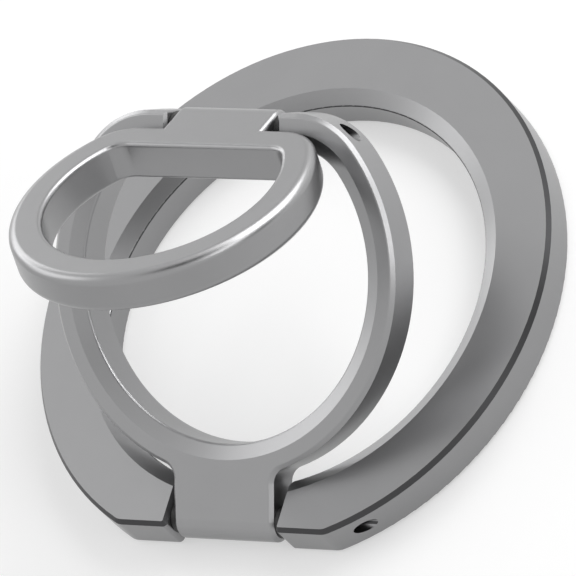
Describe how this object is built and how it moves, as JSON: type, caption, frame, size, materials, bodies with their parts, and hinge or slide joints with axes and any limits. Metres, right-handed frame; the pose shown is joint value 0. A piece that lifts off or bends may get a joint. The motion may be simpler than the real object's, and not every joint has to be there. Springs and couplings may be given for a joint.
{
  "type": "phone ring holder",
  "caption": "Folding phone ring holder: a flat magnetic base ring, a hinged kickstand ring inside it and a hinged finger ring inside that, in satin silver-grey metal",
  "frame": {"origin": "centre of the base ring, in the plane of the rear pad's contact face", "axes": "+Z out of the front face, away from the phone; X along both hinge axes, +X towards the pin holes' open ends; +Y from the lower hinge across the ring"},
  "size_m": [0.056, 0.0535, 0.0362],
  "materials": {
    "ring_metal": "satin, fine bead-blasted and anodised silver-grey",
    "pin_steel": "ground steel",
    "washer_plastic": "matt black",
    "shunt_steel": "cold-rolled",
    "cover_plastic": "matt",
    "pad_rubber": "matt soft-touch silicone",
    "magnet_plating": "nickel-plated"
  },
  "bodies": {
    "base": {"base_ring": "ring_metal", "shunt_ring": "shunt_steel", "magnet_cover": "cover_plastic", "rear_pad": "pad_rubber", "lower_pin": "pin_steel", "lower_washer_left": "washer_plastic", "lower_washer_right": "washer_plastic", "magnet_01": "magnet_plating", "magnet_02": "magnet_plating", "magnet_03": "magnet_plating", "magnet_04": "magnet_plating", "magnet_05": "magnet_plating", "magnet_06": "magnet_plating", "magnet_07": "magnet_plating", "magnet_08": "magnet_plating", "magnet_09": "magnet_plating", "magnet_10": "magnet_plating", "magnet_11": "magnet_plating", "magnet_12": "magnet_plating", "magnet_13": "magnet_plating", "magnet_14": "magnet_plating"},
    "kickstand": {"middle_ring": "ring_metal", "upper_pin": "pin_steel", "upper_washer_left": "washer_plastic", "upper_washer_right": "washer_plastic"},
    "finger": {"finger_ring": "ring_metal"}
  },
  "joints": [
    {"name": "lower_hinge", "type": "hinge", "parent": "base", "child": "kickstand", "pos_m": [0, -0.02355, 0.0022], "axis": [1, 0, 0], "range_deg": [-30.2, 149.8]},
    {"name": "upper_hinge", "type": "hinge", "parent": "kickstand", "child": "finger", "pos_m": [0, 0.00877, 0.02101], "axis": [-1, 0, 0], "range_deg": [-59, 72]}
  ]
}
